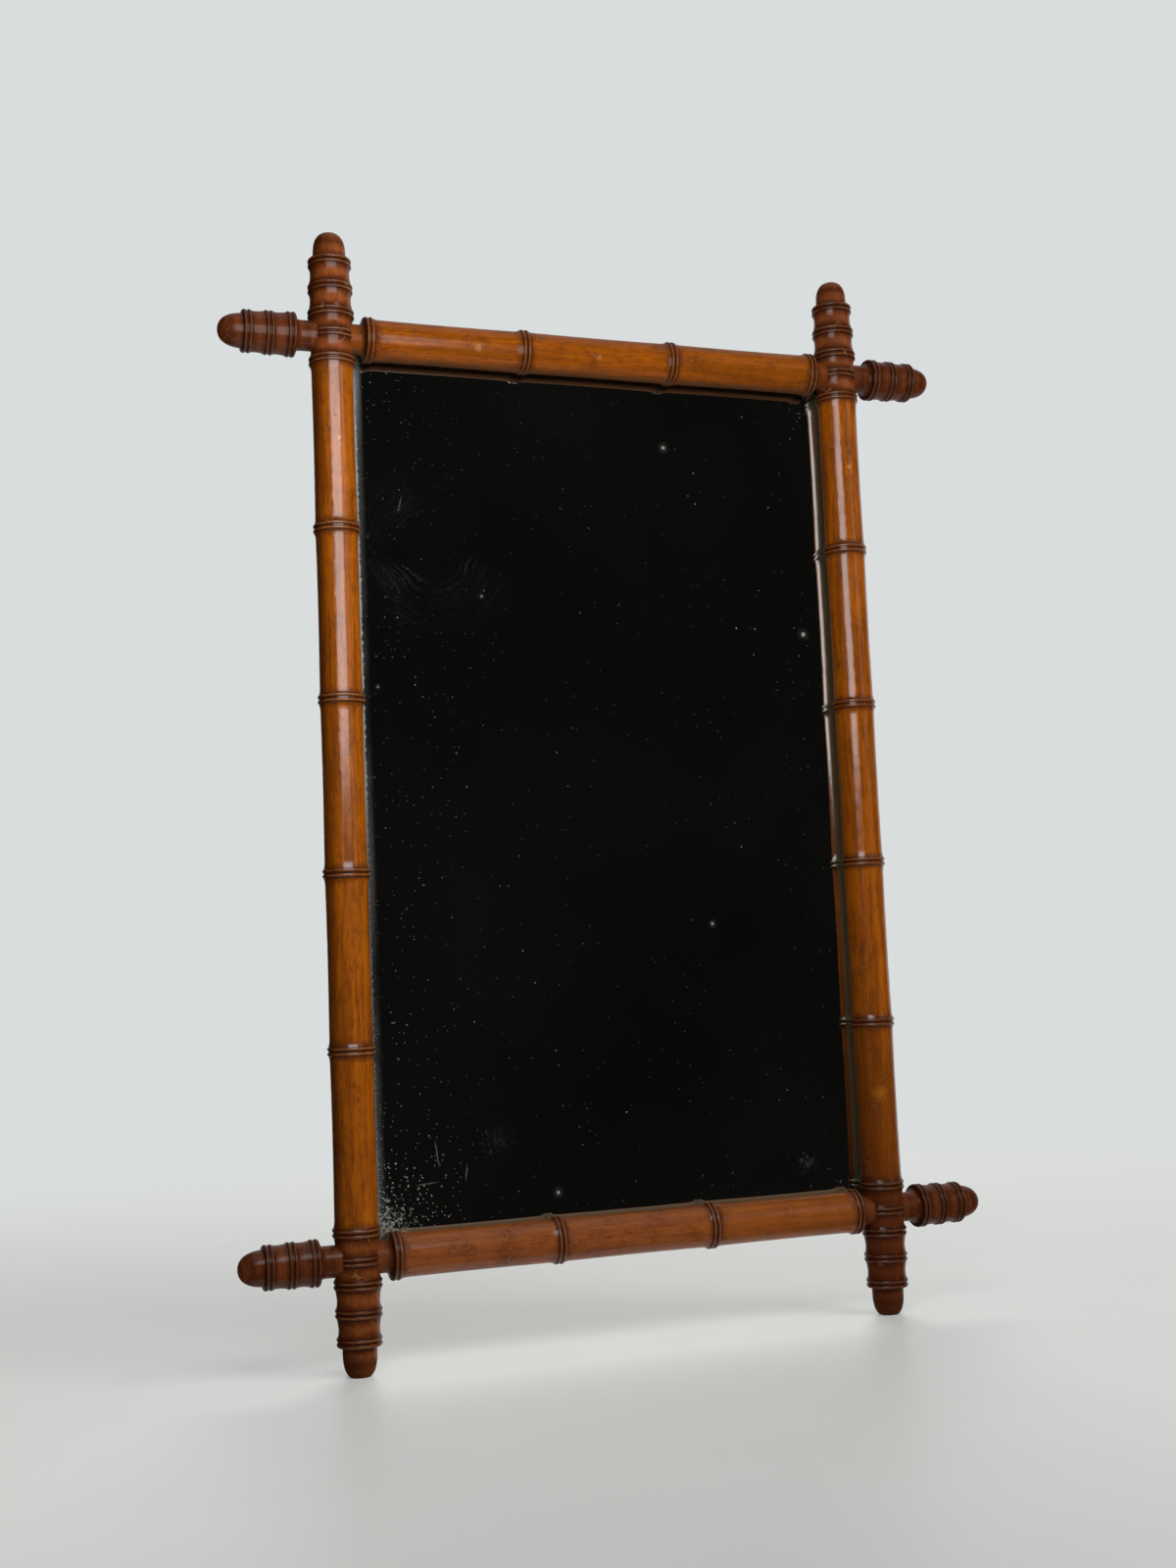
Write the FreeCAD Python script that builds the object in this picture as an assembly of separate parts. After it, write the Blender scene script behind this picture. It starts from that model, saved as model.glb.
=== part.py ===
import FreeCAD, Part
import math
import os

# Faux bamboo wall mirror: a turned wooden frame with silvered glass, a plank back and two ring hangers.
# Millimetres. +Z is up, +X is to the right of someone facing the glass, and the front faces -Y.
# The origin is the middle of the back, on the plane of the wall, and the two uprights stand left and right.

# Layout of the frame
stile_spacing = 503.0         # between the axes of the two uprights
rail_spacing = 807.0          # between the axes of the two cross rails
body_diameter = 37.4          # uprights and rails, clear of a ring

# Rings that stand for the nodes of the bamboo, each a pair of half-round beads on a swelling
bead_width = 3.4
bead_gap = 1.0                # flat groove between the two beads of a ring
bead_height = 1.0
swell_height = 1.1            # how far a joint swells where it meets a ring
swell_length = 7.0            # length of the swelling on a long joint
swell_handle_share = 0.35     # steepness of the swelling, as a share of its length
hollow_handle_share = 0.25    # fullness of a short joint's hollow, as a share of its length

# Uprights, turned from one length with their end finials
stile_joints = 5              # long joints between the corner collars
stile_waist = 0.4             # how far a long joint is drawn in at its middle
inner_ring_offset = 23.0      # rail axis to the first ring inside the frame
outer_ring_offset = 20.0      # rail axis to the first ring outside it
collar_pitch = 23.7           # between the rings outside the frame
collar_rings = 3              # rings outside the frame at each end
collar_taper = 0.7            # how much each ring further out loses in radius
collar_waist = 0.1            # how far a short joint is drawn in
dome_diameter = 29.6          # rounded end of an upright
dome_length = 25.2
dome_flank_share = 0.58       # straightness of the dome's flank, as a share of its length
dome_tip_share = 0.94         # bluntness of its tip, as a share of its radius
foot_trim = 2.8               # how much of the lower dome's tip is sawn off flat

# Cross rails, with a neck and a round tenon at each end
rail_joints = 3               # long joints between the end rings
rail_waist = 0.3
rail_neck_length = 4.6        # straight neck that shows beside the upright
neck_diameter = 27.0
cove_length = 5.0             # hollow between a neck and the ring beside it
tenon_diameter = 16.0
tenon_web = 6.0               # wood left between two tenons that meet in an upright
socket_land = 1.0             # depth of a socket's wall where it is shallowest
glue_clearance = 0.05         # all round a tenon or a fixing in its hole

# Side finials, turned apart and let into the uprights
finial_diameter = 37.2        # clear of the ring next to the neck
finial_neck_length = 9.8
finial_rings = 3
finial_pitch = 19.3           # between the rings
finial_taper = 0.5            # how much each ring further out loses in radius
finial_waist = 0.1
finial_swell_height = 0.5
finial_bead_height = 0.9
finial_dome_diameter = 30.4
finial_dome_length = 21.1
finial_flank_share = 0.25     # straightness of the dome's flank, as a share of its length
finial_tip_share = 0.9        # bluntness of its tip, as a share of its radius

# Glass in its rebate, centred by slips of wood
rebate_depth = 7.2            # from the round back of a member in to the glass
rebate_offset = 6.0           # from the axis of a member to the wall of its rebate
glass_thickness = 3.5
glass_edge_gap = 2.5          # between the glass and the walls of the rebate
slip_length = 25.0
slip_place_share = 0.55       # place of a slip, as a share of the glass's half width or height

# Back of upright planks, nailed to the rails
board_thickness = 8.0
board_gap = 1.0               # shrinkage gap between two planks
board_clearance = 0.5         # between the outer planks and the uprights, at their sides and ends
board_lap = 9.6               # how far a plank runs on to a rail, from the wall of the rebate
nail_diameter = 1.8
nail_length = 17.0
nail_tip_length = 2.6
nail_head_diameter = 4.2
nail_head_thickness = 0.8
nail_edge_distance = 32.0     # from the side of a plank

# Ring hangers on the backs of the uprights
strap_width = 9.5
strap_thickness = 1.2
strap_end_margin = 5.0        # from the lower screw to the end of the strap
wire_diameter = 2.2           # wire of the hanging ring
hinge_clearance = 0.1         # between the wire and its eye
ring_side_play = 0.6          # between the strap and each corner of the ring
ring_corner_radius = 2.0      # on the middle of the wire
ring_reach = 19.0             # from the hinge line to the inside of the ring's bow
ring_clearance = 1.0          # between the hanging ring and its strap
screw_diameter = 3.0
screw_length = 14.0
screw_tip_length = 3.0
screw_head_diameter = 5.6
screw_head_height = 1.6
screw_slot_width = 0.8
screw_slot_depth = 0.7
screw_clearance = 0.8         # between a screw head and the moving ring or its eye
hanger_flat_margin = 3.0      # planed flat beyond the hanger, above and below

overrun = 5.0                 # how far a cutting tool runs past what it cuts

# Places across the frame, from the sizes above
body_radius = body_diameter / 2
ring_width = 2 * bead_width + bead_gap
tool_reach = body_radius + swell_height + bead_height + overrun
stile_x = stile_spacing / 2
rail_z = rail_spacing / 2
collar_length = outer_ring_offset + (collar_rings - 1) * collar_pitch + ring_width / 2
stile_end = rail_z + collar_length + dome_length
long_pitch = 2 * (rail_z - inner_ring_offset) / stile_joints

# Planes from front to back: the axis of the frame, the face of the glass, its back, and the wall
seat_depth = body_radius - rebate_depth
back_depth = seat_depth + glass_thickness
axis_y = -(back_depth + board_thickness)
seat_y = axis_y + seat_depth
back_y = axis_y + back_depth

# Rebate and glass
rebate_half_width = stile_x - rebate_offset
rebate_half_height = rail_z - rebate_offset
glass_half_width = rebate_half_width - glass_edge_gap
glass_half_height = rebate_half_height - glass_edge_gap
board_end = rebate_half_height + board_lap

# Necks and tenons in the uprights, from the axis of the upright
neck_radius = neck_diameter / 2
tenon_radius = tenon_diameter / 2
tenon_end = tenon_web / 2
socket_radius = neck_radius + glue_clearance
socket_floor = math.sqrt((body_radius - collar_waist) ** 2 - socket_radius ** 2) - socket_land

# Hanger, with its hinge line in the middle of the uppermost long joint, give or take the ring
eye_radius = wire_diameter / 2 + hinge_clearance
fold_radius = eye_radius + strap_thickness
ring_length = ring_reach + wire_diameter
screw_drops = [place + screw_clearance + screw_head_diameter / 2 for place in (fold_radius, ring_length)]
strap_length = screw_drops[-1] + strap_end_margin
hinge_y = back_y + strap_thickness + ring_clearance + wire_diameter / 2
hinge_z = rail_z - inner_ring_offset - long_pitch / 2 + (strap_length - ring_length) / 2
hanger_x = stile_x + (math.sqrt(body_radius ** 2 - back_depth ** 2) - rebate_offset) / 2

RIGHT = FreeCAD.Vector(1, 0, 0)
BACK = FreeCAD.Vector(0, 1, 0)
UP = FreeCAD.Vector(0, 0, 1)
CENTRE = FreeCAD.Vector(0, 0, 0)
SIDES = {"left": -1, "right": 1}
ENDS = {"top": 1, "bottom": -1}
BOARDS = ["left_backboard", "middle_backboard", "right_backboard"]


def block(x_range, y_range, z_range):
    """A block between two places along each axis, in either order."""
    low, high = zip(*(sorted(pair) for pair in (x_range, y_range, z_range)))
    size = [end - start for start, end in zip(low, high)]
    return Part.makeBox(*size, FreeCAD.Vector(*low))


class Turning:
    """The outline of a piece turned on a lathe, drawn along its axis from one end to the other."""

    def __init__(self, along):
        self.edges = []
        self.first = FreeCAD.Vector(0, 0, along)
        self.pen = self.first

    def add(self, edge, end):
        self.edges.append(edge)
        self.pen = end

    def line_to(self, along, radius):
        end = FreeCAD.Vector(radius, 0, along)
        if end != self.pen:
            self.add(Part.makeLine(self.pen, end), end)

    def curve_to(self, *points):
        """A smooth curve drawn by its handles, each a place along the axis and a radius."""
        poles = [self.pen] + [FreeCAD.Vector(radius, 0, along) for along, radius in points]
        curve = Part.BezierCurve()
        curve.setPoles(poles)
        self.add(curve.toShape(), poles[-1])

    def bead(self, end, height):
        """A half-round bead from the pen to a place on the same radius."""
        crest = FreeCAD.Vector(self.pen.x + height, 0, (self.pen.z + end) / 2)
        foot = FreeCAD.Vector(self.pen.x, 0, end)
        self.add(Part.Arc(self.pen, crest, foot).toShape(), foot)

    def ring(self, place, radius, height):
        """A node of the bamboo: two beads that stand on the given radius."""
        start = place - ring_width / 2
        for low in (start, start + bead_width + bead_gap):
            self.line_to(low, radius)
            self.bead(low + bead_width, height)

    def long_joint(self, place, radius, waist):
        """A long joint of the bamboo, between the swellings of two rings and drawn in at its middle."""
        start = self.pen.z
        end = place - ring_width / 2
        low = self.pen.x - swell_height
        handle = swell_handle_share * swell_length
        self.curve_to((start + handle, low), (start + swell_length, low))
        self.curve_to(((start + end) / 2, (low + radius) / 2 - 2 * waist), (end - swell_length, radius))
        self.curve_to((end - handle, radius), (end, radius + swell_height))

    def short_joint(self, place, radius, swell, waist):
        """A short joint of the bamboo, hollow all the way between the swellings of two rings."""
        start = self.pen.z
        end = place - ring_width / 2
        handle = hollow_handle_share * (end - start)
        top = radius + swell
        sag = 4 * (swell + waist) / 3
        self.curve_to((start + handle, self.pen.x - sag), (end - handle, top - sag), (end, top))

    def hollow_to(self, along, radius):
        """A cove between a neck and the side of a ring."""
        corner = along if radius > self.pen.x else self.pen.z
        self.curve_to((corner, min(radius, self.pen.x)), (along, radius))

    def dome(self, base, tip, radius, flank_share, tip_share, outward):
        """A rounded end between its base and its tip, drawn towards the tip or away from it."""
        handles = [
            (base, radius),
            (base + flank_share * (tip - base), radius),
            (tip, tip_share * radius),
            (tip, 0),
        ]
        if not outward:
            handles.reverse()
        self.line_to(*handles[0])
        self.curve_to(*handles[1:])

    def solid(self):
        self.line_to(self.pen.z, 0)
        self.edges.append(Part.makeLine(self.pen, self.first))
        return Part.Face(Part.Wire(self.edges)).revolve(CENTRE, UP, 360)


def stile_rings():
    """Rings of an upright from the bottom up: place, radius, and whether the joint below is a long one."""
    collar = [(0, body_radius)]
    for count in range(collar_rings):
        collar.append((outer_ring_offset + count * collar_pitch, body_radius - count * collar_taper))
    rings = [(-rail_z - place, radius, False) for place, radius in reversed(collar)]
    for count in range(stile_joints + 1):
        rings.append((inner_ring_offset - rail_z + count * long_pitch, body_radius, count > 0))
    return rings + [(rail_z + place, radius, False) for place, radius in collar]


def socket_tool(side, height):
    """Hole in an upright for a neck and its tenon, on one side at the height of a rail."""
    floor = FreeCAD.Vector(side * tenon_end, 0, height)
    shoulder = FreeCAD.Vector(side * socket_floor, 0, height)
    bore = Part.makeCylinder(tenon_radius + glue_clearance, tool_reach - tenon_end, floor, RIGHT * side)
    return bore.fuse(Part.makeCylinder(socket_radius, tool_reach - socket_floor, shoulder, RIGHT * side))


def screw_hole(side, drop):
    """Hole in an upright for the shank of a hanger screw, as deep as the screw reaches below the strap."""
    mouth = FreeCAD.Vector(side * hanger_x, back_y, hinge_z - drop)
    depth = screw_length - strap_thickness
    return Part.makeCylinder(screw_diameter / 2 + glue_clearance, depth, mouth, BACK * -1)


def stile(side):
    """An upright, with sockets for the necks, the rebate for glass and planks and a flat for its hanger."""
    turning = Turning(-stile_end - foot_trim)
    dome_shape = (dome_diameter / 2, dome_flank_share, dome_tip_share)
    turning.dome(dome_length - stile_end, -stile_end - foot_trim, *dome_shape, outward=False)
    for count, (place, radius, is_long) in enumerate(stile_rings()):
        if is_long:
            turning.long_joint(place, radius, stile_waist)
        elif count:
            turning.short_joint(place, radius, swell_height, collar_waist)
        turning.ring(place, radius + swell_height, bead_height)
    turning.dome(stile_end - dome_length, stile_end, *dome_shape, outward=True)
    body = turning.solid()
    cuts = [socket_tool(way, height) for way in (-1, 1) for height in (-rail_z, rail_z)]
    across = (-tool_reach, tool_reach)
    cuts.append(block(across, across, (-stile_end, -stile_end - foot_trim - overrun)))
    inner = (-side * rebate_offset, -side * tool_reach)
    cuts.append(block(inner, (seat_depth, tool_reach), (-rebate_half_height, rebate_half_height)))
    plank_room = board_end + board_clearance
    cuts.append(block(inner, (back_depth, tool_reach), (-plank_room, plank_room)))
    flat_low = hinge_z - strap_length - hanger_flat_margin
    flat_high = hinge_z + ring_length + hanger_flat_margin
    cuts.append(block(across, (back_depth, tool_reach), (flat_low, flat_high)))
    body = body.cut(cuts)
    body.translate(FreeCAD.Vector(side * stile_x, axis_y, 0))
    return body.cut([screw_hole(side, drop) for drop in screw_drops])


def tenon_outline(end, shoulder, neck_end):
    """Tenon, shoulder and neck, as places along the axis with their radius."""
    return [(end, tenon_radius), (shoulder, tenon_radius), (shoulder, neck_radius), (neck_end, neck_radius)]


def rail(end):
    """A cross rail, planed flat behind for the planks, with its share of the rebate and its nail holes."""
    neck_end = stile_x - body_radius - rail_neck_length
    last_ring = neck_end - cove_length - ring_width / 2
    outline = tenon_outline(stile_x - tenon_end, stile_x - socket_floor, neck_end)
    turning = Turning(tenon_end - stile_x)
    for along, radius in outline:
        turning.line_to(-along, radius)
    turning.hollow_to(cove_length - neck_end, body_radius + swell_height)
    for count in range(rail_joints + 1):
        place = last_ring * (2 * count / rail_joints - 1)
        if count:
            turning.long_joint(place, body_radius, rail_waist)
        turning.ring(place, body_radius + swell_height, bead_height)
    turning.hollow_to(neck_end, neck_radius)
    for along, radius in reversed(outline):
        turning.line_to(along, radius)
    body = turning.solid()
    body.rotate(CENTRE, BACK, 90)
    length = (-stile_x, stile_x)
    rebate = block(length, (seat_depth, tool_reach), (-end * rebate_offset, -end * tool_reach))
    flat = block(length, (back_depth, tool_reach), (-tool_reach, tool_reach))
    body = body.cut([rebate, flat])
    body.translate(FreeCAD.Vector(0, axis_y, end * rail_z))
    return body.cut([nail(x, z, glue_clearance) for x, z in nail_places() if z * end > 0])


def side_finial(side, end):
    """A finial on the outer side of an upright, on the axis of a rail."""
    neck_end = body_radius + finial_neck_length
    first_ring = neck_end + cove_length + ring_width / 2
    radius = finial_diameter / 2
    turning = Turning(tenon_end)
    for along, across in tenon_outline(tenon_end, socket_floor, neck_end):
        turning.line_to(along, across)
    turning.hollow_to(neck_end + cove_length, radius + finial_swell_height)
    for count in range(finial_rings):
        place = first_ring + count * finial_pitch
        ring_radius = radius - count * finial_taper
        if count:
            turning.short_joint(place, ring_radius, finial_swell_height, finial_waist)
        turning.ring(place, ring_radius + finial_swell_height, finial_bead_height)
    base = turning.pen.z
    dome_shape = (finial_dome_diameter / 2, finial_flank_share, finial_tip_share)
    turning.dome(base, base + finial_dome_length, *dome_shape, outward=True)
    body = turning.solid()
    body.rotate(CENTRE, BACK, side * 90)
    body.translate(FreeCAD.Vector(side * stile_x, axis_y, end * rail_z))
    return body


def mirror_glass():
    """Flat silvered plate that lies on the seats of the rebate."""
    width = (-glass_half_width, glass_half_width)
    return block(width, (seat_y, back_y), (-glass_half_height, glass_half_height))


def glass_slips():
    """Slips of wood between the edges of the glass and the walls of the rebate."""
    slips = []
    half = slip_length / 2
    for edge in (-1, 1):
        for along in (-slip_place_share, slip_place_share):
            x = along * glass_half_width
            z = along * glass_half_height
            gap_x = (edge * glass_half_width, edge * rebate_half_width)
            gap_z = (edge * glass_half_height, edge * rebate_half_height)
            slips.append(block((x - half, x + half), (seat_y, back_y), gap_z))
            slips.append(block(gap_x, (seat_y, back_y), (z - half, z + half)))
    return Part.makeCompound(slips)


def board_edges():
    """Left and right side of each plank of the back."""
    half = rebate_half_width - board_clearance
    pitch = (2 * half + board_gap) / len(BOARDS)
    return [(count * pitch - half, (count + 1) * pitch - board_gap - half) for count in range(len(BOARDS))]


def nail_places():
    """Two nails at each end of each plank, on the middle of its lap on the rail."""
    height = rebate_half_height + board_lap / 2
    places = []
    for left, right in board_edges():
        for x in (left + nail_edge_distance, right - nail_edge_distance):
            places += [(x, -height), (x, height)]
    return places


def nail(x, z, clearance=0):
    """A nail driven in from the back with its head flush or, with a clearance, the hole that it leaves."""
    shank = nail_diameter / 2 + clearance
    head = nail_head_diameter / 2 + clearance
    turning = Turning(0)
    turning.line_to(0, head)
    turning.line_to(nail_head_thickness, head)
    turning.line_to(nail_head_thickness, shank)
    turning.line_to(nail_length - nail_tip_length, shank)
    turning.line_to(nail_length, 0)
    body = turning.solid()
    body.rotate(CENTRE, RIGHT, 90)
    body.translate(FreeCAD.Vector(x, 0, z))
    return body


def backboard(left, right):
    """One plank of the back, with the holes of its nails."""
    plank = block((left, right), (back_y, 0), (-board_end, board_end))
    return plank.cut([nail(x, z, glue_clearance) for x, z in nail_places() if left < x < right])


def backboard_nails():
    return Part.makeCompound([nail(x, z) for x, z in nail_places()])


def hanger_strap(side):
    """Brass strap, folded over the ring's wire at its top and screwed flat to the upright below."""
    half = strap_width / 2
    width = (-half, half)
    end_z = hinge_z - strap_length + half
    fold_start = FreeCAD.Vector(-half, hinge_y, hinge_z)
    round_end = FreeCAD.Vector(0, back_y, end_z)
    body = block(width, (back_y, back_y + strap_thickness), (end_z, hinge_z)).fuse([
        Part.makeCylinder(half, strap_thickness, round_end, BACK),
        block(width, (back_y, hinge_y), (hinge_z - fold_radius, hinge_z + fold_radius)),
        Part.makeCylinder(fold_radius, strap_width, fold_start, RIGHT),
    ]).removeSplitter()
    holes = [Part.makeCylinder(eye_radius, strap_width, fold_start, RIGHT)]
    for drop in screw_drops:
        mouth = FreeCAD.Vector(0, back_y, hinge_z - drop)
        holes.append(Part.makeCylinder(screw_diameter / 2 + glue_clearance, strap_thickness, mouth, BACK))
    body = body.cut(holes)
    body.translate(RIGHT * (side * hanger_x))
    return body


def hanger_ring(side):
    """D-shaped ring of round wire: a straight bar in the eye, two legs and a round bow below."""
    bar = strap_width / 2 + ring_side_play
    leg = bar + ring_corner_radius
    corner_z = hinge_z - ring_corner_radius
    bow_z = hinge_z - ring_reach - wire_diameter / 2 + leg
    turn = ring_corner_radius * math.sqrt(0.5)

    def at(across, height):
        return FreeCAD.Vector(side * hanger_x + across, hinge_y, height)

    def bend(start, middle, end):
        return Part.Arc(start, middle, end).toShape()

    path = Part.Wire([
        Part.makeLine(at(0, hinge_z), at(bar, hinge_z)),
        bend(at(bar, hinge_z), at(bar + turn, corner_z + turn), at(leg, corner_z)),
        Part.makeLine(at(leg, corner_z), at(leg, bow_z)),
        bend(at(leg, bow_z), at(0, bow_z - leg), at(-leg, bow_z)),
        Part.makeLine(at(-leg, bow_z), at(-leg, corner_z)),
        bend(at(-leg, corner_z), at(-bar - turn, corner_z + turn), at(-bar, hinge_z)),
        Part.makeLine(at(-bar, hinge_z), at(0, hinge_z)),
    ])
    section = Part.Wire(Part.makeCircle(wire_diameter / 2, at(0, hinge_z), RIGHT))
    return path.makePipeShell([section], True, True)


def hanger_screw(side, drop):
    """Slotted round-head screw through the strap into the upright."""
    head = screw_head_diameter / 2
    turning = Turning(-screw_head_height)
    turning.curve_to((-screw_head_height, head), (0, head))
    turning.line_to(0, screw_diameter / 2)
    turning.line_to(screw_length - screw_tip_length, screw_diameter / 2)
    turning.line_to(screw_length, 0)
    slot_width = (-screw_slot_width / 2, screw_slot_width / 2)
    slot_depth = (-screw_head_height, screw_slot_depth - screw_head_height)
    body = turning.solid().cut(block((-head, head), slot_width, slot_depth))
    body.rotate(CENTRE, RIGHT, 90)
    body.translate(FreeCAD.Vector(side * hanger_x, back_y + strap_thickness, hinge_z - drop))
    return body


def hanger_screws():
    return Part.makeCompound([hanger_screw(side, drop) for side in SIDES.values() for drop in screw_drops])


pieces = {}
for side_name, side in SIDES.items():
    pieces[side_name + "_stile"] = stile(side)
for end_name, end in ENDS.items():
    pieces[end_name + "_rail"] = rail(end)
    for side_name, side in SIDES.items():
        pieces[end_name + "_" + side_name + "_finial"] = side_finial(side, end)
pieces["mirror_glass"] = mirror_glass()
pieces["glass_slips"] = glass_slips()
for board_name, (left, right) in zip(BOARDS, board_edges()):
    pieces[board_name] = backboard(left, right)
pieces["backboard_nails"] = backboard_nails()
for side_name, side in SIDES.items():
    pieces[side_name + "_hanger_strap"] = hanger_strap(side)
    pieces[side_name + "_hanger_ring"] = hanger_ring(side)
pieces["hanger_screws"] = hanger_screws()

os.makedirs("parts", exist_ok=True)
for name, shape in pieces.items():
    shape.exportStep("parts/" + name + ".step")
    extent = shape.BoundBox
    corners = [round(value, 2) for value in (*extent.getPoint(0), *extent.getPoint(6))]
    print(name, "valid" if shape.isValid() else "NOT VALID", len(shape.Solids), round(shape.Volume), corners)
print("hinge", round(hanger_x, 3), round(hinge_y, 3), round(hinge_z, 3), "axis", axis_y, "back", back_y)
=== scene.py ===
import math
import bpy
from mathutils import Matrix, Vector


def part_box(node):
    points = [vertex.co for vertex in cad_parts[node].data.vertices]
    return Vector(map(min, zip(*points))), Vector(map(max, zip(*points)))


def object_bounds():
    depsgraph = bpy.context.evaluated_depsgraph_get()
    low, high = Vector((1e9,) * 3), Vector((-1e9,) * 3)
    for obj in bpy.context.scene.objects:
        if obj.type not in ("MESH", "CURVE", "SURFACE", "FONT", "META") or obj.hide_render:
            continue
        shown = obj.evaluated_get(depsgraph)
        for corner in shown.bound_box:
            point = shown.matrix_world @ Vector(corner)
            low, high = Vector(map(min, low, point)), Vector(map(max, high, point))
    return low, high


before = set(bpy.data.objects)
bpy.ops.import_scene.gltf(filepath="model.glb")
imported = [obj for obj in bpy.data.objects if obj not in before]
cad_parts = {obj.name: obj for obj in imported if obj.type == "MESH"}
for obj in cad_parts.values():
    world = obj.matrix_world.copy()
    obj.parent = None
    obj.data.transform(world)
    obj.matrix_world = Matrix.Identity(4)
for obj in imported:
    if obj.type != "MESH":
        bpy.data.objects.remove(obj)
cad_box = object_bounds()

# Uprights
# Two posts of fruitwood, each turned from one length with paired beads that stand for the nodes of
# bamboo, a rounded top and a sawn foot. Stained, French polished, and darkened in the hollows by age and
# by painted shade.
mm = 0.001
post_low, post_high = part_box("right_stile")
finial_low, finial_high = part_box("top_right_finial")
glass_low, glass_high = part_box("mirror_glass")
post_x = (post_low.x + post_high.x) / 2
rail_height = (finial_low.z + finial_high.z) / 2
inner_ring = 23 * mm            # from the axis of a rail to the first ring inside the frame
outer_ring = 20 * mm            # from the axis of a rail to the first ring outside it
long_joints = 5                 # between the first rings inside the frame
long_pitch = 2 * (rail_height - inner_ring) / long_joints
collar_rings = 3                # outside the frame at each end
collar_pitch = 23.7 * mm
collar_ring = rail_height + outer_ring
far_off = 1.0                   # further than any piece reaches


def linear(code):
    """An sRGB hex colour as linear RGBA."""
    parts = [int(code[start:start + 2], 16) / 255 for start in (1, 3, 5)]
    return [part / 12.92 if part <= 0.04045 else ((part + 0.055) / 1.055) ** 2.4 for part in parts] + [1.0]


def add(tree, kind, inputs=None, **settings):
    """Adds a node with its settings, sets or links its inputs, and returns its outputs."""
    node = tree.nodes.new("ShaderNode" + kind)
    for key, value in settings.items():
        setattr(node, key, value)
    for key, value in (inputs or {}).items():
        if isinstance(value, bpy.types.NodeSocket):
            tree.links.new(value, node.inputs[key])
        else:
            node.inputs[key].default_value = value
    return node.outputs


def new_tree(name):
    """A new material and its empty node tree."""
    material = bpy.data.materials.new(name)
    material.use_nodes = True
    material.node_tree.nodes.clear()
    return material, material.node_tree


def dress(material, *nodes):
    """Puts one material in the slots of CAD nodes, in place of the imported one."""
    for node in nodes:
        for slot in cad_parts[node].material_slots:
            slot.material = material


def ring_distance(tree, along, combs):
    """How far a point lies along the axis from the nearest ring. Each comb is a row of rings: the first of
    them, their spacing and the two ends of the row, in metres from the middle of the piece."""
    nearest = far_off
    for first, spacing, low, high in combs:
        offset = add(tree, "Math", {0: along, 1: first}, operation="SUBTRACT")[0]
        row = add(tree, "Math", {0: offset, 1: spacing / 2}, operation="PINGPONG")[0]
        before = add(tree, "Math", {0: low, 1: along}, operation="SUBTRACT")[0]
        after = add(tree, "Math", {0: along, 1: high}, operation="SUBTRACT")[0]
        row = add(tree, "Math", {0: row, 1: before}, operation="MAXIMUM")[0]
        row = add(tree, "Math", {0: row, 1: after}, operation="MAXIMUM")[0]
        nearest = add(tree, "Math", {0: row, 1: nearest}, operation="MINIMUM")[0]
    return nearest


def grain_patterns(tree, coords, drawn):
    """Soft streaks, short flecks and cloudy patches of the wood, and a ragged pattern for the borders of
    marks. drawn is how far the grain is drawn out along X, Y and Z."""
    streak_width = 5.5 * mm
    fleck_width = 1.2 * mm      # 0.3 mm in the wood, drawn coarser to show
    patch_width = 22 * mm
    ragged_width = 2.4 * mm
    lengthwise = add(tree, "Mapping", {
        "Vector": coords, "Scale": [1 / length for length in drawn],
    })["Vector"]
    streaks = add(tree, "TexNoise", {
        "Vector": lengthwise, "Scale": 1 / streak_width, "Detail": 4.0, "Distortion": 0.9,
    })[0]
    shorter = add(tree, "Mapping", {
        "Vector": coords, "Scale": [length ** -0.7 for length in drawn],
    })["Vector"]
    flecks = add(tree, "TexNoise", {"Vector": shorter, "Scale": 1 / fleck_width, "Detail": 2.0})[0]
    patches = add(tree, "TexNoise", {
        "Vector": coords, "Scale": 1 / patch_width, "Detail": 5.0, "Roughness": 0.65,
    })[0]
    ragged = add(tree, "TexNoise", {"Vector": coords, "Scale": 1 / ragged_width, "Detail": 3.0})[0]
    return streaks, flecks, patches, ragged


def stain_shade_and_sheen_zones(tree, along_axis, colour, zones):
    """Lays other stains, and painted shade and painted sheen, over stretches of the axis: where each
    begins, where it is full, its colour, its strength and how much gloss it has lost. Returns the colour
    and the gloss lost."""
    dulled = 0.0
    for start, finish, zone_colour, strength, gloss_lost in zones:
        reached = add(tree, "MapRange", {0: along_axis, 1: start, 2: finish},
                      interpolation_type="SMOOTHSTEP")[0]
        mask = add(tree, "Math", {0: reached, 1: strength}, operation="MULTIPLY")[0]
        colour = add(tree, "Mix", {0: mask, 6: colour, 7: linear(zone_colour)}, data_type="RGBA")[2]
        mask = add(tree, "Math", {0: reached, 1: gloss_lost}, operation="MULTIPLY")[0]
        dulled = add(tree, "Math", {0: mask, 1: dulled}, operation="MAXIMUM")[0]
    return colour, dulled


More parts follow.
